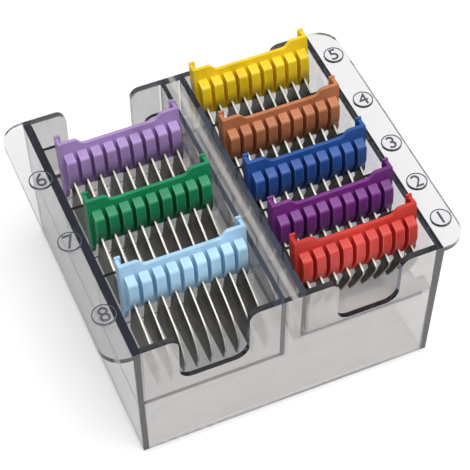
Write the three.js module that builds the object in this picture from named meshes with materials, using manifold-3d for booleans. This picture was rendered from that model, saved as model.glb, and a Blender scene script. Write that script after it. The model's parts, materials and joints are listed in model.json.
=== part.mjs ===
// A set of eight stainless guide combs for clippers with detachable blades, standing in a clear
// two-bay storage tray. Millimetres, +Z up. The origin is at the bottom centre of the tray, and -Y
// is the front, where combs 1 and 8 stand.

import * as THREE from 'three';
import { mergeVertices } from 'three/addons/utils/BufferGeometryUtils.js';
import Module from 'manifold-3d';

const wasm = await Module();
wasm.setup();

// ---- Tray ----
const TRAY_WIDTH = 130.5;          // outside, at the rim, without the side flanges
const TRAY_DEPTH = 128.4;
const TRAY_HEIGHT = 69.5;
const DRAFT = 1.4;                 // how much each side draws in between rim and base
const WALL = 2.7;
const SIDE_WALL = 3.2;             // beside the bays
const FLOOR_TOP = 35.0;
const FLOOR_THICKNESS = 2.8;
const SHELF_TOP = 44.0;            // raised front shelf of the right bay
const SHELF_DEPTH = 9.6;           // from the outside of the front wall
const DIVIDER_LEFT = -4.35;        // the two faces of the hollow divider
const DIVIDER_RIGHT = 6.6;
const DIVIDER_WALL = 2.2;
const SKIN = 1.4;                  // over the hollows in the shelf and the divider
const FLANGE_WIDTH = 10.8;
const FLANGE_THICKNESS = 2.6;
const FLANGE_CORNER = 9.5;
const DISC_HEIGHT = 0.8;
const LEFT_DISCS = { radius: 4.9, fromWall: 3.3 };     // fromWall is from the wall's outer face
const RIGHT_DISCS = { radius: 4.35, fromWall: 4.95 };
const NOTCH_SHOULDER = 4.3;        // radius where a finger notch flares into the rim
const NOTCH_CORNER = 6;

const LEFT_BAY = {
  x0: SIDE_WALL - TRAY_WIDTH / 2, x1: DIVIDER_LEFT, notchCentre: -32.4, notchWidth: 29.2,
  notchBottom: 42.5, crossWalls: [40.2, 76.7, 111.1],
};
const RIGHT_BAY = {
  x0: DIVIDER_RIGHT, x1: TRAY_WIDTH / 2 - SIDE_WALL, notchCentre: 33.4, notchWidth: 27.1,
  notchBottom: 44.5, crossWalls: [24.7, 45.8, 70.3, 95.8],
};
const BAYS = [LEFT_BAY, RIGHT_BAY];
const CROSS_WALL = 1.4;
const ARC_STEPS = 9;               // facets in each rounded corner of the tray
const DISC_FACETS = 40;
const OVERLAP = 0.2;               // how far joined solids run into each other
const CLEAR = 1;                   // how far a cutter reaches past what it cuts

// ---- Combs ----
// wallBack is the rear face of the wall that a comb leans on and labelAt its number disc, both from
// the outside of the front wall. lean is in degrees. offWall is the gap to that wall at the rim, and
// rise the height of the comb's own origin above the bay floor.
const COMBS = [
  { number: 1, x: 35.3, wallBack: 24.7, lean: 8, offWall: 0.3, rise: 19.6,
    colour: 0xd5331f, labelAt: 13.4 },
  { number: 2, x: 35.3, wallBack: 45.8, lean: 6, offWall: 0.3, rise: 19.0,
    colour: 0x6f2383, labelAt: 34.0 },
  { number: 3, x: 35.3, wallBack: 70.3, lean: 6, offWall: 0.3, rise: 19.0,
    colour: 0x1d47a0, labelAt: 56.7 },
  { number: 4, x: 35.3, wallBack: 95.8, lean: 5, offWall: 0.3, rise: 19.0,
    colour: 0xb8683c, labelAt: 83.3 },
  { number: 5, x: 35.3, wallBack: TRAY_DEPTH, lean: 10.5, offWall: 0.4, rise: 18.8,
    colour: 0xe9c51a, labelAt: 112.0 },
  { number: 6, x: -31.1, wallBack: 111.1, lean: 9.5, offWall: 1.5, rise: 18.8,
    colour: 0xa683c9, labelAt: 94.8 },
  { number: 7, x: -31.1, wallBack: 76.7, lean: 6.5, offWall: 0.3, rise: 19.4,
    colour: 0x0f8f52, labelAt: 60.2 },
  { number: 8, x: -31.1, wallBack: 40.2, lean: 8, offWall: 0.3, rise: 20.4,
    colour: 0xa9d2ee, labelAt: 21.8 },
];
const REST_GAP = 0.3;              // between a tine's foot and the floor

// A comb's own frame: x across, y backward from the front face of its plate, z up from the lower
// end of that face's ribs.
const COMB_WIDTH = 52.8;
const PLATE = 1.8;
const PLATE_BOTTOM = -1.0;
const MID_TOP = 20.2;
const EAR_TOP = 23.0;
const EAR_LENGTH = 8.0;
const EAR_STEP = 2.3;
const CHEEK = 1.6;
const CHEEK_BOTTOM = -7.5;
const BODY_BACK = 5.4;             // rear edge of the cheeks
const HOOK_TOP = 24.3;
const HOOK_BACK = 1.2;             // thickness of the lip that runs up each cheek's rear edge
const LIP = 0.9;                   // how far that lip reaches inward

const TINES = 9;
const TINE_PITCH = 5.7;
const TINE_THICKNESS = 0.9;
const RIB_WIDTH = 4.0;
const RIB_DEPTH = 4.5;
const RIB_TOP = 17.4;
const RIB_FRONT = [15.9, 7.2];     // top and bottom of a rib's front face

const ROOT_BAR_BACK = 3.8;         // the bar behind the ribs that the tines are set in
const ROOT_BAR_TOP = 3.6;
const ROOT_TOP = 4.0;              // top of a tine inside its slot
const ROOT_BOTTOM = -2.5;
const ROOT_BACK = 2.9;
const ROD = { y: 1.9, z: 1.2, radius: 0.7, overhang: 1.5, facets: 8 };
const FIT = 0.3;                   // clearance between neighbouring pieces

const STOP = { bottom: 14.0, thickness: 1.4, half: 5 };   // ledge that the catch spring pushes against
const CATCH = {
  bottom: 4.5, top: 11.2, front: 3.6, back: 4.2, tongueTop: 7.0, tongueHalf: 12, hookHeight: 1.1,
};
const SPRING = { radius: 0.5, wire: 0.15, wireFacets: 2, turns: 5, stepsPerTurn: 7, y: 2.7 };

// ---- Solids ----

function solid(geometry) {
  geometry.deleteAttribute('normal');
  geometry.deleteAttribute('uv');
  const merged = mergeVertices(geometry);
  return new wasm.Manifold(new wasm.Mesh({
    numProp: 3,
    vertProperties: Float32Array.from(merged.attributes.position.array),
    triVerts: Uint32Array.from(merged.index.array),
  }));
}

function geometryOf(body) {
  const mesh = body.getMesh();
  const geometry = new THREE.BufferGeometry();
  geometry.setAttribute('position', new THREE.BufferAttribute(mesh.vertProperties, 3));
  geometry.setIndex(new THREE.BufferAttribute(mesh.triVerts, 1));
  geometry.computeVertexNormals();
  return geometry;
}

const join = (solids) => solids.reduce((whole, next) => whole.add(next));

function box(x0, x1, y0, y1, z0, z1) {
  const geometry = new THREE.BoxGeometry(x1 - x0, y1 - y0, z1 - z0);
  geometry.translate((x0 + x1) / 2, (y0 + y1) / 2, (z0 + z1) / 2);
  return solid(geometry);
}

const outline = (points) => new THREE.Shape(points.map(([a, b]) => new THREE.Vector2(a, b)));

function extruded(shape, length) {
  return new THREE.ExtrudeGeometry(shape, { depth: length, bevelEnabled: false, curveSegments: ARC_STEPS });
}

// Extrudes an outline in (y, z) from x0 to x1.
function acrossX(shape, x0, x1) {
  const geometry = extruded(shape, x1 - x0);
  geometry.applyMatrix4(new THREE.Matrix4().makeBasis(
    new THREE.Vector3(0, 1, 0), new THREE.Vector3(0, 0, 1), new THREE.Vector3(1, 0, 0)));
  geometry.translate(x0, 0, 0);
  return solid(geometry);
}

// Extrudes an outline in (x, z) from y0 to y1.
function alongY(shape, y0, y1) {
  const geometry = extruded(shape, y1 - y0);
  geometry.applyMatrix4(new THREE.Matrix4().makeBasis(
    new THREE.Vector3(1, 0, 0), new THREE.Vector3(0, 0, 1), new THREE.Vector3(0, -1, 0)));
  geometry.translate(0, y1, 0);
  return solid(geometry);
}

// Extrudes an outline in (x, y) from z0 to z1.
function upZ(shape, z0, z1) {
  const geometry = extruded(shape, z1 - z0);
  geometry.translate(0, 0, z0);
  return solid(geometry);
}

// ---- The tray ----

const frontOffset = -TRAY_DEPTH / 2;      // from distances behind the front wall to the model's y
const fromFront = (distance) => distance + frontOffset;

// A block centred on the tray that draws in downward with the walls, inset by a margin.
function draftedBlock(margin, z0, z1) {
  const height = z1 - z0;
  const geometry = new THREE.BoxGeometry(1, 1, height);
  geometry.translate(0, 0, (z0 + z1) / 2);
  const position = geometry.attributes.position;
  for (let i = 0; i < position.count; i += 1) {
    const inset = margin + DRAFT * (1 - position.getZ(i) / TRAY_HEIGHT);
    position.setX(i, Math.sign(position.getX(i)) * (TRAY_WIDTH / 2 - inset));
    position.setY(i, Math.sign(position.getY(i)) * (TRAY_DEPTH / 2 - inset));
  }
  return solid(geometry);
}

function flange(side) {
  const inner = side * (TRAY_WIDTH / 2 - WALL);
  const outer = side * (TRAY_WIDTH / 2 + FLANGE_WIDTH);
  const bend = outer - side * FLANGE_CORNER;
  const end = TRAY_DEPTH / 2;
  const shape = new THREE.Shape();
  shape.moveTo(inner, -end);
  shape.lineTo(bend, -end);
  shape.absarc(bend, FLANGE_CORNER - end, FLANGE_CORNER, -Math.PI / 2, side > 0 ? 0 : -Math.PI, side < 0);
  shape.absarc(bend, end - FLANGE_CORNER, FLANGE_CORNER, side > 0 ? 0 : Math.PI, Math.PI / 2, side < 0);
  shape.lineTo(inner, end);
  return upZ(shape, TRAY_HEIGHT - FLANGE_THICKNESS, TRAY_HEIGHT);
}

// The U cut out of the front wall, the back wall and every cross wall of a bay.
function fingerNotch(bay) {
  const half = bay.notchWidth / 2;
  const x0 = bay.notchCentre - half;
  const x1 = bay.notchCentre + half;
  const above = TRAY_HEIGHT + CLEAR;
  const shoulderZ = TRAY_HEIGHT - NOTCH_SHOULDER;
  const cornerZ = bay.notchBottom + NOTCH_CORNER;
  const shape = new THREE.Shape();
  shape.moveTo(x0 - NOTCH_SHOULDER, above);
  shape.lineTo(x0 - NOTCH_SHOULDER, TRAY_HEIGHT);
  shape.absarc(x0 - NOTCH_SHOULDER, shoulderZ, NOTCH_SHOULDER, Math.PI / 2, 0, true);
  shape.absarc(x0 + NOTCH_CORNER, cornerZ, NOTCH_CORNER, Math.PI, Math.PI * 1.5, false);
  shape.absarc(x1 - NOTCH_CORNER, cornerZ, NOTCH_CORNER, Math.PI * 1.5, Math.PI * 2, false);
  shape.absarc(x1 + NOTCH_SHOULDER, shoulderZ, NOTCH_SHOULDER, Math.PI, Math.PI / 2, true);
  shape.lineTo(x1 + NOTCH_SHOULDER, above);
  return alongY(shape, -TRAY_DEPTH, TRAY_DEPTH);
}

function numberDisc(comb) {
  const side = Math.sign(comb.x);
  const { radius, fromWall } = side < 0 ? LEFT_DISCS : RIGHT_DISCS;
  const geometry = new THREE.CylinderGeometry(radius, radius, DISC_HEIGHT * 2, DISC_FACETS);
  geometry.rotateX(Math.PI / 2);
  geometry.translate(side * (TRAY_WIDTH / 2 + fromWall), fromFront(comb.labelAt), TRAY_HEIGHT);
  return solid(geometry);
}

// The space under the bays, which reaches up inside the divider and the front shelf.
function hollowUnderneath() {
  const far = TRAY_WIDTH;
  const inDivider = DIVIDER_LEFT + DIVIDER_WALL;
  const spaces = join([
    box(-far, far, -far, far, -CLEAR, FLOOR_TOP - FLOOR_THICKNESS),
    box(inDivider, DIVIDER_RIGHT - DIVIDER_WALL, -far, far, -CLEAR, TRAY_HEIGHT - SKIN),
    box(inDivider, far, -far, fromFront(SHELF_DEPTH) - SKIN, -CLEAR, SHELF_TOP - SKIN),
  ]);
  return spaces.intersect(draftedBlock(WALL, -CLEAR, TRAY_HEIGHT));
}

function tray() {
  const inside = TRAY_DEPTH / 2 - WALL;
  let body = draftedBlock(0, 0, TRAY_HEIGHT);
  for (const bay of BAYS) {
    body = body.subtract(box(bay.x0, bay.x1, -inside, inside, FLOOR_TOP, TRAY_HEIGHT + CLEAR));
    for (const wallBack of bay.crossWalls) {
      const back = fromFront(wallBack);
      body = body.add(box(bay.x0 - OVERLAP, bay.x1 + OVERLAP, back - CROSS_WALL, back,
        FLOOR_TOP - OVERLAP, TRAY_HEIGHT));
    }
  }
  body = body.add(box(RIGHT_BAY.x0 - OVERLAP, RIGHT_BAY.x1 + OVERLAP, -inside - OVERLAP,
    fromFront(SHELF_DEPTH), FLOOR_TOP - OVERLAP, SHELF_TOP));
  for (const bay of BAYS) body = body.subtract(fingerNotch(bay));
  return join([body.subtract(hollowUnderneath()), flange(-1), flange(1), ...COMBS.map(numberDisc)]);
}

// ---- One comb ----

const tineX = (index) => (index - (TINES - 1) / 2) * TINE_PITCH;

function ribProfile() {
  const [frontTop, frontBottom] = RIB_FRONT;
  return outline([[PLATE / 2, RIB_TOP], [0, RIB_TOP], [-RIB_DEPTH, frontTop], [-RIB_DEPTH, frontBottom],
    [0, PLATE_BOTTOM], [PLATE / 2, PLATE_BOTTOM]]);
}

function plateOutline() {
  const half = COMB_WIDTH / 2;
  const earEnd = half - EAR_LENGTH;
  return outline([
    [-half, PLATE_BOTTOM], [half, PLATE_BOTTOM], [half, EAR_TOP], [earEnd, EAR_TOP],
    [earEnd - EAR_STEP, MID_TOP], [EAR_STEP - earEnd, MID_TOP], [-earEnd, EAR_TOP], [-half, EAR_TOP],
  ]);
}

function cheekProfile() {
  const hookFront = BODY_BACK - HOOK_BACK;
  return outline([
    [0, PLATE_BOTTOM], [BODY_BACK / 2, CHEEK_BOTTOM], [BODY_BACK, CHEEK_BOTTOM],
    [BODY_BACK, HOOK_TOP], [hookFront, HOOK_TOP], [hookFront, EAR_TOP], [0, EAR_TOP],
  ]);
}

function combBody() {
  const half = COMB_WIDTH / 2;
  const pieces = [
    alongY(plateOutline(), 0, PLATE),
    box(-half + CHEEK / 2, half - CHEEK / 2, PLATE / 2, ROOT_BAR_BACK, PLATE_BOTTOM, ROOT_BAR_TOP),
    box(-STOP.half, STOP.half, PLATE / 2, BODY_BACK - HOOK_BACK, STOP.bottom, STOP.bottom + STOP.thickness),
  ];
  for (let i = 0; i < TINES; i += 1) {
    pieces.push(acrossX(ribProfile(), tineX(i) - RIB_WIDTH / 2, tineX(i) + RIB_WIDTH / 2));
  }
  const cheek = acrossX(cheekProfile(), half - CHEEK, half);
  const lip = box(half - CHEEK - LIP, half - CHEEK / 2, BODY_BACK - HOOK_BACK, BODY_BACK,
    CHEEK_BOTTOM, HOOK_TOP);
  for (const piece of [cheek, lip]) pieces.push(piece, piece.mirror([1, 0, 0]));
  const slots = [];
  for (let i = 0; i < TINES; i += 1) {
    const reach = TINE_THICKNESS / 2 + FIT;
    slots.push(box(tineX(i) - reach, tineX(i) + reach, -RIB_DEPTH - CLEAR, ROOT_BACK + FIT,
      PLATE_BOTTOM - CLEAR, ROOT_TOP + FIT));
  }
  return join(pieces).subtract(join([...slots, rod(FIT)]));
}

// The cross rod that holds the tines together, or with a margin the bore it lies in.
function rod(margin) {
  const radius = ROD.radius + margin;
  const length = 2 * (tineX(TINES - 1) + ROD.overhang + margin);
  const geometry = new THREE.CylinderGeometry(radius, radius, length, ROD.facets);
  geometry.rotateZ(Math.PI / 2);
  geometry.translate(0, ROD.y, ROD.z);
  return solid(geometry);
}

// The side view of one tine, going down the skin side to the foot and back up. Each comb's tine lies
// between the shortest one, a slanted strip, and the longest one, a deep fin. Its foot is cut level
// with the bay floor for the comb's lean.
const SHORTEST = {
  skin: [[-2.5, ROOT_TOP], [-6.2, 2.3], [-6.3, 1.2], [-5.6, -0.6], [1.8, -12.4]],
  foot: [6.3, 8.3], heel: [0.2, -3.1],
};
const LONGEST = {
  skin: [[-2.5, ROOT_TOP], [-18.1, -4.5], [-22.3, -10.2], [-23.1, -16.0], [-20.6, -20.0]],
  foot: [-20.1, 8.0], heel: [3.4, -5.0],
};

function tineOutline(comb) {
  const share = (comb.number - 1) / (COMBS.length - 1);
  const between = (short, long) => short.map((value, i) => THREE.MathUtils.lerp(value, long[i], share));
  const lean = THREE.MathUtils.degToRad(comb.lean);
  const foot = between(SHORTEST.foot, LONGEST.foot)
    .map((y) => [y, (REST_GAP - comb.rise + y * Math.sin(lean)) / Math.cos(lean)]);
  return [
    ...SHORTEST.skin.map((corner, i) => between(corner, LONGEST.skin[i])),
    ...foot, between(SHORTEST.heel, LONGEST.heel), [ROOT_BACK, ROOT_BOTTOM], [ROOT_BACK, ROOT_TOP],
  ];
}

function tineSet(comb) {
  const shape = outline(tineOutline(comb));
  const pieces = [rod(0)];
  for (let i = 0; i < TINES; i += 1) {
    pieces.push(acrossX(shape, tineX(i) - TINE_THICKNESS / 2, tineX(i) + TINE_THICKNESS / 2));
  }
  return join(pieces);
}

// A sprung slide that hooks under the heel of the clipper blade.
function bladeCatch() {
  const half = COMB_WIDTH / 2 - CHEEK - FIT;
  const between = half - LIP - FIT;
  return join([
    box(-half, half, CATCH.front, CATCH.back, CATCH.bottom, CATCH.top),
    box(-CATCH.tongueHalf, CATCH.tongueHalf, PLATE + FIT, CATCH.front + OVERLAP,
      ROOT_TOP + FIT, CATCH.tongueTop),
    box(-between, between, CATCH.back - OVERLAP, BODY_BACK - FIT, CATCH.bottom,
      CATCH.bottom + CATCH.hookHeight),
  ]);
}

class Helix extends THREE.Curve {
  constructor(radius, length, turns) {
    super();
    Object.assign(this, { radius, length, turns });
  }

  getPoint(t, target = new THREE.Vector3()) {
    const angle = t * this.turns * Math.PI * 2;
    return target.set(this.radius * Math.cos(angle), this.radius * Math.sin(angle), t * this.length);
  }
}

function catchSpring() {
  const start = CATCH.tongueTop + FIT + SPRING.wire;
  const end = STOP.bottom - FIT - SPRING.wire;
  const wire = new THREE.Shape();
  wire.absarc(0, 0, SPRING.wire, 0, Math.PI * 2);
  const geometry = new THREE.ExtrudeGeometry(wire, {
    curveSegments: SPRING.wireFacets, steps: SPRING.turns * SPRING.stepsPerTurn,
    bevelEnabled: false, extrudePath: new Helix(SPRING.radius, end - start, SPRING.turns),
  });
  geometry.translate(0, SPRING.y, start);
  return solid(geometry);
}

// ---- Assembly ----

function part(name, body, colour, roughness, metalness) {
  const material = new THREE.MeshStandardMaterial({ color: colour, roughness, metalness });
  const mesh = new THREE.Mesh(geometryOf(body), material);
  mesh.name = name;
  return mesh;
}

// Stands a comb on the bay floor, leaning back on its wall at the height of the rim.
function standing(comb) {
  const lean = THREE.MathUtils.degToRad(comb.lean);
  const wall = comb.wallBack === TRAY_DEPTH ? WALL : CROSS_WALL;
  const z = FLOOR_TOP + comb.rise;
  const backEdgeY = fromFront(comb.wallBack - wall) - comb.offWall;
  const y = backEdgeY - BODY_BACK / Math.cos(lean) - (TRAY_HEIGHT - z) * Math.tan(lean);
  return { x: comb.x, y, z, lean };
}

function combGroup(comb) {
  const place = standing(comb);
  const prefix = `comb_${comb.number}`;
  const group = new THREE.Group();
  group.position.set(place.x, place.y, place.z);
  group.rotation.x = -place.lean;
  group.add(part(`${prefix}_body`, combBody(), comb.colour, 0.4, 0));
  group.add(part(`${prefix}_tines`, tineSet(comb), 0xb9b7b2, 0.25, 1));
  group.add(part(`${prefix}_blade_catch`, bladeCatch(), 0xc4c4c6, 0.3, 1));
  group.add(part(`${prefix}_catch_spring`, catchSpring(), 0x9fa1a5, 0.3, 1));
  return group;
}

const set = new THREE.Group();
set.add(part('storage_tray', tray(), 0xb9bcc2, 0.1, 0));
for (const comb of COMBS) set.add(combGroup(comb));

export default set;
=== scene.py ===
"""Eight guide combs standing in a smoky clear storage tray, in metres, in the CAD model's frame."""
import bmesh
import bpy
import json
import math
from mathutils import Matrix, Vector


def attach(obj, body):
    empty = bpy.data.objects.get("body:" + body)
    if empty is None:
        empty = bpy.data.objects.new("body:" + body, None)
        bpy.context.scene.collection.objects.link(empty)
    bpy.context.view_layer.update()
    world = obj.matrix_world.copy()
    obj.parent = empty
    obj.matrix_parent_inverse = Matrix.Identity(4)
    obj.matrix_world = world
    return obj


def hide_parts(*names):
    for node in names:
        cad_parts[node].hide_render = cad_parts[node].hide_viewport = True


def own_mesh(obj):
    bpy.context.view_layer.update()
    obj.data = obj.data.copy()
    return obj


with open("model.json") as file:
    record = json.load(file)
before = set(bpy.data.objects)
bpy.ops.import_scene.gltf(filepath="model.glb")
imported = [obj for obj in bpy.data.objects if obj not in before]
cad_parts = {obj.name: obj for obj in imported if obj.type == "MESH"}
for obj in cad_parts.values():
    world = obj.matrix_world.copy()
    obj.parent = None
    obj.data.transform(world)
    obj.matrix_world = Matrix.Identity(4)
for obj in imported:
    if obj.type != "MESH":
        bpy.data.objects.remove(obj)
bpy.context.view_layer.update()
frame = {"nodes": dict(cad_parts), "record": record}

MM = 0.001
COMB_NUMBERS = range(1, 9)

# The comb's own frame, in mm: x across, y backward from the plate's front face, z up.
WIDTH = 52.8
PLATE = 1.8
PLATE_BOTTOM = -1.0
MID_TOP = 20.2
EAR_TOP = 23.0
EAR_LENGTH = 8.0
EAR_STEP = 2.3
CHEEK = 1.6
CHEEK_BOTTOM = -7.5
BACK = 5.4
HOOK_TOP = 24.3
HOOK_BACK = 1.2
LIP = 0.9
LIP_START = 0.6                    # in from the cheek's outer face, inside the cheek
ROOT_BAR_BACK = 3.8                # the bar behind the ribs
ROOT_BAR_TOP = 3.6
LEDGE_BOTTOM = 14.0                # the ledge above the catch spring
LEDGE_TOP = 15.4
LEDGE_HALF = 5.0
INTO_PLATE = 0.9                   # back from the plate's front: the ribs end and the bar begins there
INTO_CHEEK = 0.8                   # in from the cheek's outer face, where the bar ends
TINES = 9
PITCH = 5.7
TINE_THICKNESS = 0.9
RIB_DEPTH = 4.5
RIB_WIDTH = 4.0
RIB_TOP = 17.4
RIB_SIDE = [(INTO_PLATE, RIB_TOP), (0.0, RIB_TOP), (-RIB_DEPTH, 15.9), (-RIB_DEPTH, 7.2),
            (0.0, PLATE_BOTTOM), (INTO_PLATE, PLATE_BOTTOM)]
RIB_ROUNDING = [0.0, 0.6, 1.3, 3.2, 0.3, 0.0]
RIB_ROOT = 1.0                     # what is this far in front of the plate belongs to a rib
PLATE_ROUNDING = [0.0, 0.0, 0.0, 1.2, 1.4, 1.4, 1.2, 0.0]
CHEEK_ROUNDING = [1.0, 1.2, 0.5, 0.35, 0.35, 0.5, 0.3]
SHORTEST = {                       # the outlines of comb 1's tines and of comb 8's
    "skin": [(-2.5, 4.0), (-6.2, 2.3), (-6.3, 1.2), (-5.6, -0.6), (1.8, -12.4)],
    "foot": [6.3, 8.3], "heel": (0.2, -3.1),
}
LONGEST = {
    "skin": [(-2.5, 4.0), (-18.1, -4.5), (-22.3, -10.2), (-23.1, -16.0), (-20.6, -20.0)],
    "foot": [-20.1, 8.0], "heel": (3.4, -5.0),
}
ROOT_BACK = [(2.9, -2.5), (2.9, 4.0)]
TINE_ROUNDING = [0.0, 6.0, 5.0, 4.0, 2.5, 0.5, 0.5, 2.0, 0.0, 0.0]
FOOT_LEVEL = 35.3                  # height of every tine's foot in the tray
SPRING = {"radius": 0.5, "wire": 0.15, "turns": 5, "y": 2.7, "low": 7.45, "high": 13.55}
SPRING_STEPS = 18                  # along one turn of the coil
WIRE_SIDES = 8
BODY_BEVEL = 0.22
BAR_BEVEL = 0.3
LEDGE_BEVEL = 0.2
RIB_BEVEL = 0.34
TINE_BEVEL = 0.14
CATCH_BEVEL = 0.12
TINE_SIDE_SLANT = 0.3              # a tine's face whose normal has more x than this is a side, and gets the steel painted dark for shade
PAINTED_HIGHLIGHT_SLANT = (0.2, 0.97)         # and one of a rib's, between these, is a long rounded edge, which gets a painted highlight

# The tray, in mm in the part's frame.
FRONT_SKIN = (62.2, 62.5)          # how far forward or back the front and back walls' outer faces begin
SIDE_SKIN = (63.2, 65.6)           # how far aside the side walls' outer faces lie
SIDE_SOFT = 0.2
RIM_SKIN = (69.0, 69.3)            # how high the tops of the walls begin
TRAY_BEVEL = 0.3
DISC_SKIN = 0.1                    # how far below the highest point a disc's top may lie
DISC_APART = 12.0                  # less than the way between two number discs
DISC_ORDER = (1, 2, 3, 4, 5, 8, 7, 6)  # up the right side from the front, then up the left side
RING_WIDTH = 0.45
RING_GAP = 0.05                    # from the ring to the disc's edge
RING_HEIGHT = 0.22
RING_SIDES = 64
RING_EDGE = 0.12
DIGIT_LIFT = 0.1                   # the middle of a digit above the disc's top
DIGIT_SCALE = 2.0                  # the size of the type, by the disc's radius
DIGIT_THINNER = 0.06
DIGIT_HALF_HEIGHT = 0.16
DIGIT_BEVEL = 0.07
HAZE = (0.27, 0.46)                # share of the light that the scuffed faces scatter
SEEN_END_ON = [                    # x and z of the plates behind a broad wall, and how clear it is there
    ((-70.0, -61.6), (-5.0, 80.0), 0.85), ((61.6, 70.0), (-5.0, 80.0), 0.85),
    ((-4.6, -1.8), (33.0, 80.0), 0.7), ((4.2, 7.0), (43.5, 80.0), 0.7),
    ((-61.6, -4.4), (33.5, 36.4), 0.45), ((4.2, 61.6), (42.7, 44.0), 0.6),
]
# x, y and z of the first right pocket's floor
FROSTED_SHELF = ((7.0, 61.6), (-61.6, -40.9), (34.8, 44.2))
DIVIDER_TOP = (0.7, 1.6)           # the worn strip along the top of the divider, in x
SOFT = 0.3                         # how gradually such a place ends
DIVIDER_SOFT = 1.5
DIVIDER_UPWARD = (0.8, 1.1)        # the normal's z at which the wear begins and would be full
SHELF_UPWARD = (0.8, 0.95)


# ---- Mesh helpers ----

SAME_POINT = 1e-6                  # metres
FLAT = 0.01                        # radians between two faces that are one, on the tray
CATCH_FLAT = 0.02


def add_object(name, mesh, *materials):
    obj = bpy.data.objects.new(name, mesh)
    bpy.context.scene.collection.objects.link(obj)
    for material in materials:
        mesh.materials.append(material)
    return obj


def smooth(obj, degrees=30):
    """Smooth shading that keeps the flat faces flat and gives the bend to the rounded edges."""
    obj.data.shade_smooth()
    obj.data.set_sharp_from_angle(angle=math.radians(degrees))
    modifier = obj.modifiers.new("normals", "WEIGHTED_NORMAL")
    modifier.keep_sharp = True
    modifier.weight = 100
    graph = bpy.context.evaluated_depsgraph_get()
    mesh = bpy.data.meshes.new_from_object(obj.evaluated_get(graph))
    obj.modifiers.clear()
    obj.data = mesh
    return obj


def mesh_from(bm, name):
    bmesh.ops.recalc_face_normals(bm, faces=bm.faces)
    mesh = bpy.data.meshes.new(name)
    bm.to_mesh(mesh)
    bm.free()
    return mesh


def bevel_edges(bm, width, segments=2, degrees=20):
    limit = math.radians(degrees)
    edges = [e for e in bm.edges if len(e.link_faces) == 2 and e.calc_face_angle(0) > limit]
    bmesh.ops.bevel(bm, geom=edges, offset=width, offset_type="OFFSET", segments=segments,
                    profile=0.5, affect="EDGES", clamp_overlap=True)


def prism(outline, low, high, place, bevel, segments=2):
    """A bevelled prism: place(a, b, c) gives the point for outline corner (a, b) at depth c."""
    bm = bmesh.new()
    rings = [[bm.verts.new(place(a, b, c)) for a, b in outline] for c in (low, high)]
    bm.faces.new(rings[0])
    bm.faces.new(reversed(rings[1]))
    count = len(outline)
    for i in range(count):
        j = (i + 1) % count
        bm.faces.new((rings[0][j], rings[0][i], rings[1][i], rings[1][j]))
    bmesh.ops.recalc_face_normals(bm, faces=bm.faces)
    bevel_edges(bm, bevel, segments)
    return bm


def across(y, z, x):
    return Vector((x, y, z)) * MM


def along(x, z, y):
    return Vector((x, y, z)) * MM


def side_prism(outline, x0, x1, bevel, segments=2):
    return prism(outline, x0, x1, across, bevel * MM, segments)


def front_prism(outline, y0, y1, bevel):
    return prism(outline, y0, y1, along, bevel * MM)


def block(x0, x1, y0, y1, z0, z1, bevel):
    return side_prism([(y0, z0), (y1, z0), (y1, z1), (y0, z1)], x0, x1, bevel)


def union(parts, name):
    """One closed mesh from overlapping closed ones."""
    first, *others = [add_object(f"{name}_{i}", mesh_from(bm, f"{name}_{i}"))
                      for i, bm in enumerate(parts)]
    group = bpy.data.collections.new(name)
    for other in others:
        group.objects.link(other)
    modifier = first.modifiers.new("join", "BOOLEAN")
    modifier.operation = "UNION"
    modifier.solver = "EXACT"
    modifier.operand_type = "COLLECTION"
    modifier.collection = group
    graph = bpy.context.evaluated_depsgraph_get()
    mesh = bpy.data.meshes.new_from_object(first.evaluated_get(graph))
    for made in (first, *others):
        bpy.data.objects.remove(made)
    bpy.data.collections.remove(group)
    mesh.name = name
    return mesh


MOST_ROUNDED = 0.48                # of an outline's side, by the corner at one end of it
LEAST_ROUNDING = 0.05


def rounded(outline, radii, steps):
    """The outline with its corners rounded, each to its own radius, in so many steps."""
    result = []
    count = len(outline)
    for i, radius in enumerate(radii):
        here = Vector(outline[i])
        before = Vector(outline[i - 1]) - here
        after = Vector(outline[(i + 1) % count]) - here
        reach = min(radius, before.length * MOST_ROUNDED, after.length * MOST_ROUNDED)
        if reach < LEAST_ROUNDING:
            result.append(tuple(here))
            continue
        start, end = here + before.normalized() * reach, here + after.normalized() * reach
        for k in range(steps + 1):
            t = k / steps
            result.append(tuple(start * (1 - t) ** 2 + here * 2 * t * (1 - t) + end * t ** 2))
    return result


# ---- Materials ----

def material(name, **sockets):
    mat = bpy.data.materials.new(name)
    mat.use_nodes = True
    shader = mat.node_tree.nodes["Principled BSDF"]
    for key, value in sockets.items():
        shader.inputs[key.replace("_", " ")].default_value = value
    return mat, shader


def noise(mat, scale, stretch=(1, 1, 1), **settings):
    """Noise in the object's own coordinates, stretched, with its scale in cycles per metre."""
    nodes, links = mat.node_tree.nodes, mat.node_tree.links
    coordinates = nodes.new("ShaderNodeTexCoord")
    mapping = nodes.new("ShaderNodeMapping")
    mapping.inputs["Scale"].default_value = stretch
    links.new(coordinates.outputs["Object"], mapping.inputs["Vector"])
    node = nodes.new("ShaderNodeTexNoise")
    node.inputs["Scale"].default_value = scale
    for key, value in settings.items():
        node.inputs[key].default_value = value
    links.new(mapping.outputs["Vector"], node.inputs["Vector"])
    return node.outputs["Fac"]


def ramp(mat, source, low, high, dark, light):
    nodes, links = mat.node_tree.nodes, mat.node_tree.links
    node = nodes.new("ShaderNodeValToRGB")
    node.color_ramp.elements[0].position = low
    node.color_ramp.elements[1].position = high
    node.color_ramp.elements[0].color = (*dark, 1)
    node.color_ramp.elements[1].color = (*light, 1)
    links.new(source, node.inputs["Fac"])
    return node.outputs["Color"]


def spread(mat, source, low, high):
    nodes, links = mat.node_tree.nodes, mat.node_tree.links
    node = nodes.new("ShaderNodeMapRange")
    node.inputs["To Min"].default_value = low
    node.inputs["To Max"].default_value = high
    links.new(source, node.inputs["Value"])
    return node.outputs["Result"]


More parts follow.
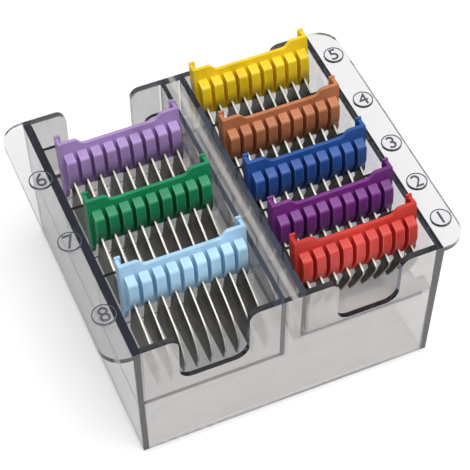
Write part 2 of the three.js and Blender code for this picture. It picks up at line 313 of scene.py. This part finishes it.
def bump(mat, shader, source, distance, strength):
    nodes, links = mat.node_tree.nodes, mat.node_tree.links
    node = nodes.new("ShaderNodeBump")
    node.inputs["Distance"].default_value = distance
    node.inputs["Strength"].default_value = strength
    links.new(source, node.inputs["Height"])
    links.new(node.outputs["Normal"], shader.inputs["Normal"])


def shade(colour, gain, lift=0.0, most=1.0):
    return [min(most, c * gain + lift) for c in colour]


def moulded(name, colour, roughness=0.42):
    """Satin injection-moulded plastic with flow streaks and a fine spark-eroded grain."""
    mat, shader = material(name, Roughness=roughness, IOR=1.5)
    links = mat.node_tree.links
    flow = noise(mat, scale=90, stretch=(1, 1, 0.35), Detail=4.0)
    dark, light = shade(colour, gain=0.84), shade(colour, gain=1.14, lift=0.006)
    links.new(ramp(mat, flow, 0.3, 0.7, dark, light), shader.inputs["Base Color"])
    smudge = noise(mat, scale=260, Detail=3.0)
    links.new(spread(mat, smudge, roughness - 0.08, roughness + 0.1), shader.inputs["Roughness"])
    grain = noise(mat, scale=4200, Detail=2.0)
    bump(mat, shader, grain, distance=0.00004, strength=0.35)
    return mat


def steel(name, dark, light, roughness, stretch, metallic=1.0, stains=0.2):
    """Ground stainless steel: grind lines along one direction, and stains a few mm across."""
    mat, shader = material(name, Metallic=metallic, Roughness=roughness)
    links = mat.node_tree.links
    lines = noise(mat, scale=2600, stretch=stretch, Detail=3.0)
    clouds = noise(mat, scale=130, Detail=2.0, Roughness=0.6)
    tone = math_node(mat, "ADD", math_node(mat, "MULTIPLY", lines, 1 - stains),
                     math_node(mat, "MULTIPLY", clouds, stains))
    links.new(ramp(mat, tone, 0.36, 0.64, dark, light), shader.inputs["Base Color"])
    links.new(spread(mat, lines, roughness - 0.06, roughness + 0.1), shader.inputs["Roughness"])
    bump(mat, shader, lines, distance=0.00003, strength=0.4)
    return mat


def math_node(mat, operation, *values):
    """A Math node whose inputs are numbers or sockets."""
    node = mat.node_tree.nodes.new("ShaderNodeMath")
    node.operation = operation
    for socket, value in zip(node.inputs, values):
        if isinstance(value, (int, float)):
            socket.default_value = value
        else:
            mat.node_tree.links.new(value, socket)
    return node.outputs["Value"]


def step(mat, source, low, high):
    """0 below low and 1 above high, or 1 below high and 0 above low where low is the larger."""
    node = mat.node_tree.nodes.new("ShaderNodeMapRange")
    node.interpolation_type = "SMOOTHSTEP"
    node.inputs["From Min"].default_value = min(low, high)
    node.inputs["From Max"].default_value = max(low, high)
    node.inputs["To Min"].default_value = 0.0 if low < high else 1.0
    node.inputs["To Max"].default_value = 1.0 if low < high else 0.0
    mat.node_tree.links.new(source, node.inputs["Value"])
    return node.outputs["Result"]


def band(mat, source, low, high, soft):
    """1 between low and high, and 0 further than soft outside them."""
    return math_node(mat, "MULTIPLY", step(mat, source, low - soft, low),
                     step(mat, source, high + soft, high))


def tray_band(mat, source, limits, soft):
    """The same with its lengths in mm."""
    return band(mat, source, limits[0] * MM, limits[1] * MM, soft * MM)


def position(mat):
    """The sockets of a point's three coordinates in the object."""
    nodes, links = mat.node_tree.nodes, mat.node_tree.links
    split = nodes.new("ShaderNodeSeparateXYZ")
    links.new(nodes.new("ShaderNodeTexCoord").outputs["Object"], split.inputs["Vector"])
    return split.outputs


def scuffed_faces(mat):
    """Where the tray is dull: its broad outer faces, save where a plate behind them shows end on,
    the strip along the divider's top, and the floor of the first right pocket."""
    nodes, links = mat.node_tree.nodes, mat.node_tree.links
    facing = nodes.new("ShaderNodeSeparateXYZ")
    links.new(nodes.new("ShaderNodeNewGeometry").outputs["True Normal"], facing.inputs["Vector"])
    x, y, z = position(mat)
    front_or_back = math_node(
        mat, "MULTIPLY", math_node(mat, "ABSOLUTE", facing.outputs["Y"]),
        step(mat, math_node(mat, "ABSOLUTE", y), *[v * MM for v in FRONT_SKIN]))
    side = math_node(
        mat, "MULTIPLY", math_node(mat, "ABSOLUTE", facing.outputs["X"]),
        tray_band(mat, math_node(mat, "ABSOLUTE", x), SIDE_SKIN, SIDE_SOFT))
    broad = math_node(mat, "ADD", front_or_back, side)
    for across_x, up_z, clearness in SEEN_END_ON:
        plate = math_node(mat, "MULTIPLY", tray_band(mat, x, across_x, SOFT),
                          tray_band(mat, z, up_z, SOFT))
        shows = math_node(mat, "MULTIPLY", plate, clearness)
        broad = math_node(mat, "MULTIPLY", broad, math_node(mat, "SUBTRACT", 1.0, shows))
    divider = math_node(mat, "MULTIPLY", step(mat, facing.outputs["Z"], *DIVIDER_UPWARD),
                        tray_band(mat, x, DIVIDER_TOP, DIVIDER_SOFT))
    divider = math_node(mat, "MULTIPLY", divider, step(mat, z, *[v * MM for v in RIM_SKIN]))
    shelf = step(mat, facing.outputs["Z"], *SHELF_UPWARD)
    for axis, limits in zip((x, y, z), FROSTED_SHELF):
        shelf = math_node(mat, "MULTIPLY", shelf, tray_band(mat, axis, limits, SOFT))
    return math_node(mat, "MAXIMUM", math_node(mat, "MAXIMUM", broad, divider), shelf)


def clear_plastic(name, colour, density):
    """Smoky clear styrene: light dims with the length of its way through the wall."""
    mat, shader = material(name, Roughness=0.03, IOR=1.5)
    nodes, links = mat.node_tree.nodes, mat.node_tree.links
    clouds = noise(mat, scale=55, stretch=(1, 1, 2.2), Detail=5.0)
    dull = math_node(mat, "MULTIPLY", scuffed_faces(mat), spread(mat, clouds, *HAZE))
    links.new(math_node(mat, "SUBTRACT", 1.0, dull), shader.inputs["Transmission Weight"])
    links.new(ramp(mat, dull, 0.0, 0.45, (0.94, 0.92, 0.90), (0.74, 0.70, 0.665)),
              shader.inputs["Base Color"])
    smears = noise(mat, scale=70, Detail=3.0)
    links.new(spread(mat, smears, 0.015, 0.06), shader.inputs["Roughness"])
    waves = noise(mat, scale=45, Detail=2.0)
    bump(mat, shader, waves, distance=0.0002, strength=0.15)
    absorption = nodes.new("ShaderNodeVolumeAbsorption")
    absorption.inputs["Color"].default_value = (*colour, 1)
    absorption.inputs["Density"].default_value = density
    links.new(absorption.outputs["Volume"], nodes["Material Output"].inputs["Volume"])
    return mat


def dark_ink(name):
    """The raised marks, of the tray's own clear plastic on the real tray, here an opaque near-black:
    painted shade for the dark they show where seen end on.
    """
    mat, shader = material(name, Roughness=0.2, IOR=1.5)
    worn = noise(mat, scale=900, Detail=3.0)
    mat.node_tree.links.new(
        ramp(mat, worn, 0.3, 0.7, (0.035, 0.038, 0.05), (0.10, 0.105, 0.12)),
        shader.inputs["Base Color"])
    mat.node_tree.links.new(spread(mat, worn, 0.12, 0.3), shader.inputs["Roughness"])
    return mat


FACE, EDGE = 0, 1                  # the material slots of a comb's body and of its tines
BODY_COLOURS = {
    1: (0.51, 0.024, 0.015), 2: (0.155, 0.018, 0.195), 3: (0.012, 0.070, 0.285),
    4: (0.42, 0.145, 0.056), 5: (0.78, 0.53, 0.006), 6: (0.33, 0.215, 0.46),
    7: (0.002, 0.21, 0.080), 8: (0.36, 0.58, 0.78),
}
SLOTS = {1: "red", 2: "purple", 3: "blue", 4: "copper_brown", 5: "yellow", 6: "lavender",
         7: "green", 8: "light_blue"}
# The tines' sides get a near-black steel, far darker than ground steel, which paints the shade between
# the close-set tines; their edges get the lighter steel.
tine_side_painted_shade = steel("ground_steel_painted_dark", (0.012, 0.010, 0.007), (0.125, 0.110, 0.080), roughness=0.34,
                  stretch=(1, 0.06, 1), stains=0.75)
tine_edge = steel("polished_edge", (0.36, 0.345, 0.30), (0.54, 0.52, 0.47), roughness=0.45,
                  stretch=(1, 0.1, 0.1), metallic=0.6)
catch_steel = steel("catch_steel", (0.34, 0.34, 0.35), (0.6, 0.6, 0.61), roughness=0.3,
                    stretch=(0.05, 1, 1))
spring_steel = steel("spring_steel", (0.3, 0.3, 0.32), (0.55, 0.55, 0.57), roughness=0.28,
                     stretch=(1, 1, 0.3))
smoky = clear_plastic("smoky_clear_plastic", colour=(0.56, 0.605, 0.70), density=118.0)
# an opaque near-black for the number discs' rings and digits: painted shade, where the clear plastic
# looks dark end on
mark = dark_ink("marks_painted_dark")


# ---- Combs ----

def comb_matrix(number):
    """The comb's frame in the row frame, found from its CAD body and the axis of its catch."""
    axis = next(j["axis"] for j in frame["record"]["behaviour"]["joints"]
                if j["name"] == f"comb_{number}_catch_slide")
    turn = Matrix.Rotation(-math.atan2(axis[1], axis[2]), 4, "X")
    back = turn.inverted()
    points = [back @ v.co for v in frame["nodes"][f"comb_{number}_body"].data.vertices]
    x = (min(p.x for p in points) + max(p.x for p in points)) / 2
    y = min(p.y for p in points) + RIB_DEPTH * MM
    z = max(p.z for p in points) - HOOK_TOP * MM
    return turn @ Matrix.Translation((x, y, z))  # its columns are the comb's own axes


def tine_x(index):
    return (index - (TINES - 1) / 2) * PITCH


def body_mesh():
    half = WIDTH / 2
    ear = half - EAR_LENGTH
    plate = rounded(
        [(-half, PLATE_BOTTOM), (half, PLATE_BOTTOM), (half, EAR_TOP), (ear, EAR_TOP),
         (ear - EAR_STEP, MID_TOP), (EAR_STEP - ear, MID_TOP), (-ear, EAR_TOP), (-half, EAR_TOP)],
        PLATE_ROUNDING, 4)
    hook = BACK - HOOK_BACK
    cheek = rounded(
        [(0, PLATE_BOTTOM), (BACK / 2, CHEEK_BOTTOM), (BACK, CHEEK_BOTTOM), (BACK, HOOK_TOP),
         (hook, HOOK_TOP), (hook, EAR_TOP), (0, EAR_TOP)],
        CHEEK_ROUNDING, 3)
    bar = half - INTO_CHEEK
    parts = [front_prism(plate, 0, PLATE, BODY_BEVEL),
             block(-bar, bar, INTO_PLATE, ROOT_BAR_BACK, PLATE_BOTTOM, ROOT_BAR_TOP, BAR_BEVEL),
             block(-LEDGE_HALF, LEDGE_HALF, INTO_PLATE, hook, LEDGE_BOTTOM, LEDGE_TOP, LEDGE_BEVEL)]
    rib = rounded(RIB_SIDE, RIB_ROUNDING, 4)
    for i in range(TINES):
        x = tine_x(i)
        parts.append(side_prism(rib, x - RIB_WIDTH / 2, x + RIB_WIDTH / 2, RIB_BEVEL, segments=3))
    for side in (-1, 1):
        wall = sorted((side * half, side * (half - CHEEK)))
        parts.append(side_prism(cheek, *wall, BODY_BEVEL))
        lip = sorted((side * (half - CHEEK - LIP), side * (half - LIP_START)))
        parts.append(block(*lip, hook, BACK, CHEEK_BOTTOM, HOOK_TOP, BAR_BEVEL))
    return union(parts, "comb_body")


def tine_outline(number, place):
    """The side view of one tine, whose foot is cut level for the comb's lean."""
    share = (number - 1) / (len(COMB_NUMBERS) - 1)

    def between(short, long):
        return tuple(a + (b - a) * share for a, b in zip(short, long))

    up = place.to_3x3() @ Vector((0, 0, 1))
    drop = FOOT_LEVEL - place.translation.z / MM
    feet = [(y, (drop + y * up.y) / up.z) for y in between(SHORTEST["foot"], LONGEST["foot"])]
    skin = [between(a, b) for a, b in zip(SHORTEST["skin"], LONGEST["skin"])]
    heel = between(SHORTEST["heel"], LONGEST["heel"])
    return rounded([*skin, *feet, heel, *ROOT_BACK], TINE_ROUNDING, 6)


def tines_mesh(number, place):
    """Nine tines, whose thin outer edges have the second material and whose sides have the first, a
    near-black steel that paints the shade between them.
    """
    bm = bmesh.new()
    outline = tine_outline(number, place)
    half = TINE_THICKNESS / 2
    for i in range(TINES):
        tine = side_prism(outline, tine_x(i) - half, tine_x(i) + half, TINE_BEVEL)
        made = bpy.data.meshes.new("tine")
        tine.to_mesh(made)
        tine.free()
        bm.from_mesh(made)
        bpy.data.meshes.remove(made)
    for face in bm.faces:
        face.material_index = FACE if abs(face.normal.x) > TINE_SIDE_SLANT else EDGE
    return mesh_from(bm, f"comb_{number}_tines")


def catch_mesh(number):
    """The CAD catch with its edges rounded over."""
    bm = bmesh.new()
    bm.from_mesh(frame["nodes"][f"comb_{number}_blade_catch"].data)
    bmesh.ops.remove_doubles(bm, verts=bm.verts, dist=SAME_POINT)
    bmesh.ops.dissolve_limit(bm, angle_limit=CATCH_FLAT, verts=bm.verts, edges=bm.edges)
    bevel_edges(bm, CATCH_BEVEL * MM)
    return mesh_from(bm, f"comb_{number}_catch")


def spring_mesh(number, place):
    """A coil of round wire, cut off square at its two ends."""
    bm = bmesh.new()
    turns, wire, sides = SPRING["turns"], SPRING["wire"], WIRE_SIDES
    steps = turns * SPRING_STEPS
    rings = []
    for i in range(steps + 1):
        t = i / steps
        angle = t * turns * math.tau
        rise = SPRING["low"] + (SPRING["high"] - SPRING["low"]) * t
        ring = []
        for k in range(sides):
            around = k / sides * math.tau
            r = SPRING["radius"] + wire * math.cos(around)
            ring.append(bm.verts.new(place @ (Vector((
                r * math.cos(angle), SPRING["y"] + r * math.sin(angle),
                rise + wire * math.sin(around))) * MM)))
        rings.append(ring)
    for a, b in zip(rings, rings[1:]):
        for k in range(sides):
            bm.faces.new((a[k], a[(k + 1) % sides], b[(k + 1) % sides], b[k]))
    bm.faces.new(reversed(rings[0]))
    bm.faces.new(rings[-1])
    return mesh_from(bm, f"comb_{number}_spring")


def stand_in(obj, node, body, degrees=30):
    """Smooths a piece and puts it in the place of a CAD node."""
    smooth(obj, degrees)
    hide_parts(node)
    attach(obj, body)
    return obj


def mark_rubbed_edges(mesh):
    """Gives the ribs' long rounded edges the second material, a lighter copy of the plastic: a painted
    highlight.
    """
    low, high = PAINTED_HIGHLIGHT_SLANT
    for face in mesh.polygons:
        if face.center.y < -RIB_ROOT * MM and low < abs(face.normal.x) < high:
            face.material_index = EDGE


shared_body = body_mesh()
mark_rubbed_edges(shared_body)
for number in COMB_NUMBERS:
    place = comb_matrix(number)
    group = f"comb_{number}"
    colour = BODY_COLOURS[number]
    plastic = moulded(f"{SLOTS[number]}_plastic", colour)
    # a lighter copy of the comb's plastic: a painted highlight on the ribs' long edges
    painted_highlight = moulded(f"{SLOTS[number]}_painted_highlight_edge",
                     shade(colour, gain=1.25, lift=0.05, most=0.95), roughness=0.5)
    mesh = shared_body.copy()
    mesh.transform(place)
    stand_in(add_object(f"comb_{number}_moulding", mesh, plastic, painted_highlight), f"{group}_body", group)
    mesh = tines_mesh(number, place)
    mesh.transform(place)
    stand_in(add_object(f"comb_{number}_ground_tines", mesh, tine_side_painted_shade, tine_edge),
             f"{group}_tines", group)
    stand_in(add_object(f"comb_{number}_stamped_catch", catch_mesh(number), catch_steel),
             f"{group}_blade_catch", f"{group}_catch")
    spring = stand_in(add_object(f"comb_{number}_coil", spring_mesh(number, place), spring_steel),
                      f"{group}_catch_spring", group, degrees=60)
    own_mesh(spring)


# ---- Tray ----

def tray_mesh():
    """The CAD tray with its edges rounded over."""
    bm = bmesh.new()
    bm.from_mesh(frame["nodes"]["storage_tray"].data)
    bmesh.ops.remove_doubles(bm, verts=bm.verts, dist=SAME_POINT)
    bmesh.ops.dissolve_limit(bm, angle_limit=FLAT, verts=bm.verts, edges=bm.edges)
    bevel_edges(bm, TRAY_BEVEL * MM, degrees=30)
    return mesh_from(bm, "tray")


def discs():
    """Centre and radius of each number disc, by number, from the highest points of the CAD tray."""
    points = [v.co for v in frame["nodes"]["storage_tray"].data.vertices]
    top = max(p.z for p in points)
    groups = []
    for point in (p for p in points if p.z > top - DISC_SKIN * MM):
        near = [g for g in groups if (g[0] - point).length < DISC_APART * MM]
        if near:
            near[0].append(point)
        else:
            groups.append([point])
    found = []
    for group in groups:
        low = Vector(min(p[i] for p in group) for i in range(3))
        high = Vector(max(p[i] for p in group) for i in range(3))
        found.append(((low + high) / 2, (high.x - low.x) / 2))
    found.sort(key=lambda disc: disc[0].y)
    right = [disc for disc in found if disc[0].x > 0]
    left = [disc for disc in found if disc[0].x < 0]
    return dict(zip(DISC_ORDER, right + left))


def ring_mesh(name, centre, outer, inner, height):
    """A raised ring with a rounded top."""
    bm = bmesh.new()
    sides, edge = RING_SIDES, RING_EDGE * MM
    profile = [(outer, -edge), (outer, height - edge), (outer - edge, height), (inner + edge, height),
               (inner, height - edge), (inner, -edge)]
    rings = []
    for i in range(sides):
        angle = i / sides * math.tau
        rings.append([bm.verts.new(centre + Vector((r * math.cos(angle), r * math.sin(angle), z)))
                      for r, z in profile])
    for i, here in enumerate(rings):
        after = rings[(i + 1) % sides]
        for k in range(len(profile)):
            m = (k + 1) % len(profile)
            bm.faces.new((here[k], after[k], after[m], here[m]))
    return mesh_from(bm, name)


def digit_mesh(number, centre, size):
    """The number in a plain sans-serif, raised from the disc and with its edges rounded."""
    curve = bpy.data.curves.new(f"digit_{number}", "FONT")
    curve.body = str(number)
    curve.size = size
    curve.align_x, curve.align_y = "CENTER", "CENTER"
    curve.offset = -DIGIT_THINNER * MM
    curve.extrude = DIGIT_HALF_HEIGHT * MM
    curve.bevel_depth = DIGIT_BEVEL * MM
    curve.bevel_resolution = 1
    obj = bpy.data.objects.new(f"digit_{number}", curve)
    bpy.context.scene.collection.objects.link(obj)
    graph = bpy.context.evaluated_depsgraph_get()
    mesh = bpy.data.meshes.new_from_object(obj.evaluated_get(graph))
    bpy.data.objects.remove(obj)
    middle = [(min(v.co[i] for v in mesh.vertices) + max(v.co[i] for v in mesh.vertices)) / 2
              for i in range(2)]
    mesh.transform(Matrix.Translation(centre - Vector((*middle, 0))))
    bm = bmesh.new()
    bm.from_mesh(mesh)
    bmesh.ops.remove_doubles(bm, verts=bm.verts, dist=SAME_POINT)
    return mesh_from(bm, f"digit_{number}")


tray = add_object("clear_tray", tray_mesh(), smoky)
stand_in(tray, "storage_tray", "tray")
for number, (centre, radius) in discs().items():
    outer = radius - RING_GAP * MM
    ring = ring_mesh(f"ring_{number}", centre, outer, outer - RING_WIDTH * MM, RING_HEIGHT * MM)
    digit = digit_mesh(number, centre + Vector((0, 0, DIGIT_LIFT * MM)), radius * DIGIT_SCALE)
    for name, mesh in ((f"disc_ring_{number}", ring), (f"disc_number_{number}", digit)):
        piece = smooth(add_object(name, mesh, mark))
        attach(piece, "tray")


# ---- Stage ----

# Lengths are in metres, but for the lens and its sensor.
FLOOR_HALF = 3
FLOOR_DROP = 0.0002
PAINTED_SHADOW = 0.062                 # half the side of the square under the tray where the floor glows less: a painted shadow
PAINTED_SHADOW_SOFT = 0.004
GLOW_AROUND = 0.52
GLOW_IN_PAINTED_SHADOW = 0.3
SKY = 0.58
KEY_PLACE = (0.12, -0.25, 1.05)
KEY_TARGET = (0, 0, 0.05)
KEY_SIDE = 0.9
KEY_WATTS = 11.0
# The photo's camera, worked out from the tray's straight edges.
LENS_MM = 125.94
SENSOR_MM = 36
CAMERA_PLACE = (-0.16567, -0.39828, 0.57272)
CAMERA_RIGHT = Vector((0.91866, -0.39509, -0.00379))
CAMERA_DOWN = Vector((-0.31019, -0.71524, -0.62632))
CAMERA_FORWARD = Vector((0.24473, 0.57652, -0.77957))


def paper(name):
    """White paper that glows as if lit from behind, and glows less in a square under the tray: a painted
    shadow.
    """
    mat, shader = material(name, Roughness=0.9, Emission_Color=(1, 1, 1, 1))
    links = mat.node_tree.links
    x, y, _ = position(mat)
    # a painted shadow: the floor glows less in this square under the tray
    painted_shadow_mask = [band(mat, axis, -PAINTED_SHADOW, PAINTED_SHADOW, PAINTED_SHADOW_SOFT) for axis in (x, y)]
    links.new(spread(mat, math_node(mat, "MULTIPLY", *painted_shadow_mask), GLOW_AROUND, GLOW_IN_PAINTED_SHADOW),
              shader.inputs["Emission Strength"])
    fibres = noise(mat, scale=40, Detail=4.0)
    links.new(ramp(mat, fibres, 0.3, 0.7, (0.49, 0.49, 0.49), (0.51, 0.51, 0.51)),
              shader.inputs["Base Color"])
    return mat


def add_floor():
    bm = bmesh.new()
    bmesh.ops.create_grid(bm, x_segments=1, y_segments=1, size=FLOOR_HALF)
    floor = add_object("floor", mesh_from(bm, "floor"), paper("pale_floor"))
    floor.location.z = -FLOOR_DROP


def add_lights():
    """An even white sky and one soft light from above."""
    world = bpy.data.worlds.new("studio")
    bpy.context.scene.world = world
    world.use_nodes = True
    sky = world.node_tree.nodes["Background"]
    sky.inputs["Color"].default_value = (1, 1, 1, 1)
    sky.inputs["Strength"].default_value = SKY
    light = bpy.data.lights.new("key", "AREA")
    light.shape = "SQUARE"
    light.size = KEY_SIDE
    light.energy = KEY_WATTS
    key = bpy.data.objects.new("key", light)
    bpy.context.scene.collection.objects.link(key)
    key.location = KEY_PLACE
    way = Vector(KEY_TARGET) - Vector(KEY_PLACE)
    key.rotation_euler = way.to_track_quat("-Z", "Y").to_euler()


def add_camera():
    camera_data = bpy.data.cameras.new("camera")
    camera_data.lens = LENS_MM
    camera_data.sensor_width = SENSOR_MM
    camera = bpy.data.objects.new("camera", camera_data)
    bpy.context.scene.collection.objects.link(camera)
    turn = Matrix((CAMERA_RIGHT, -CAMERA_DOWN, -CAMERA_FORWARD)).transposed().to_4x4()
    camera.matrix_world = Matrix.Translation(CAMERA_PLACE) @ turn
    bpy.context.scene.camera = camera


add_floor()
add_lights()
add_camera()
bpy.context.scene.view_settings.view_transform = "Standard"
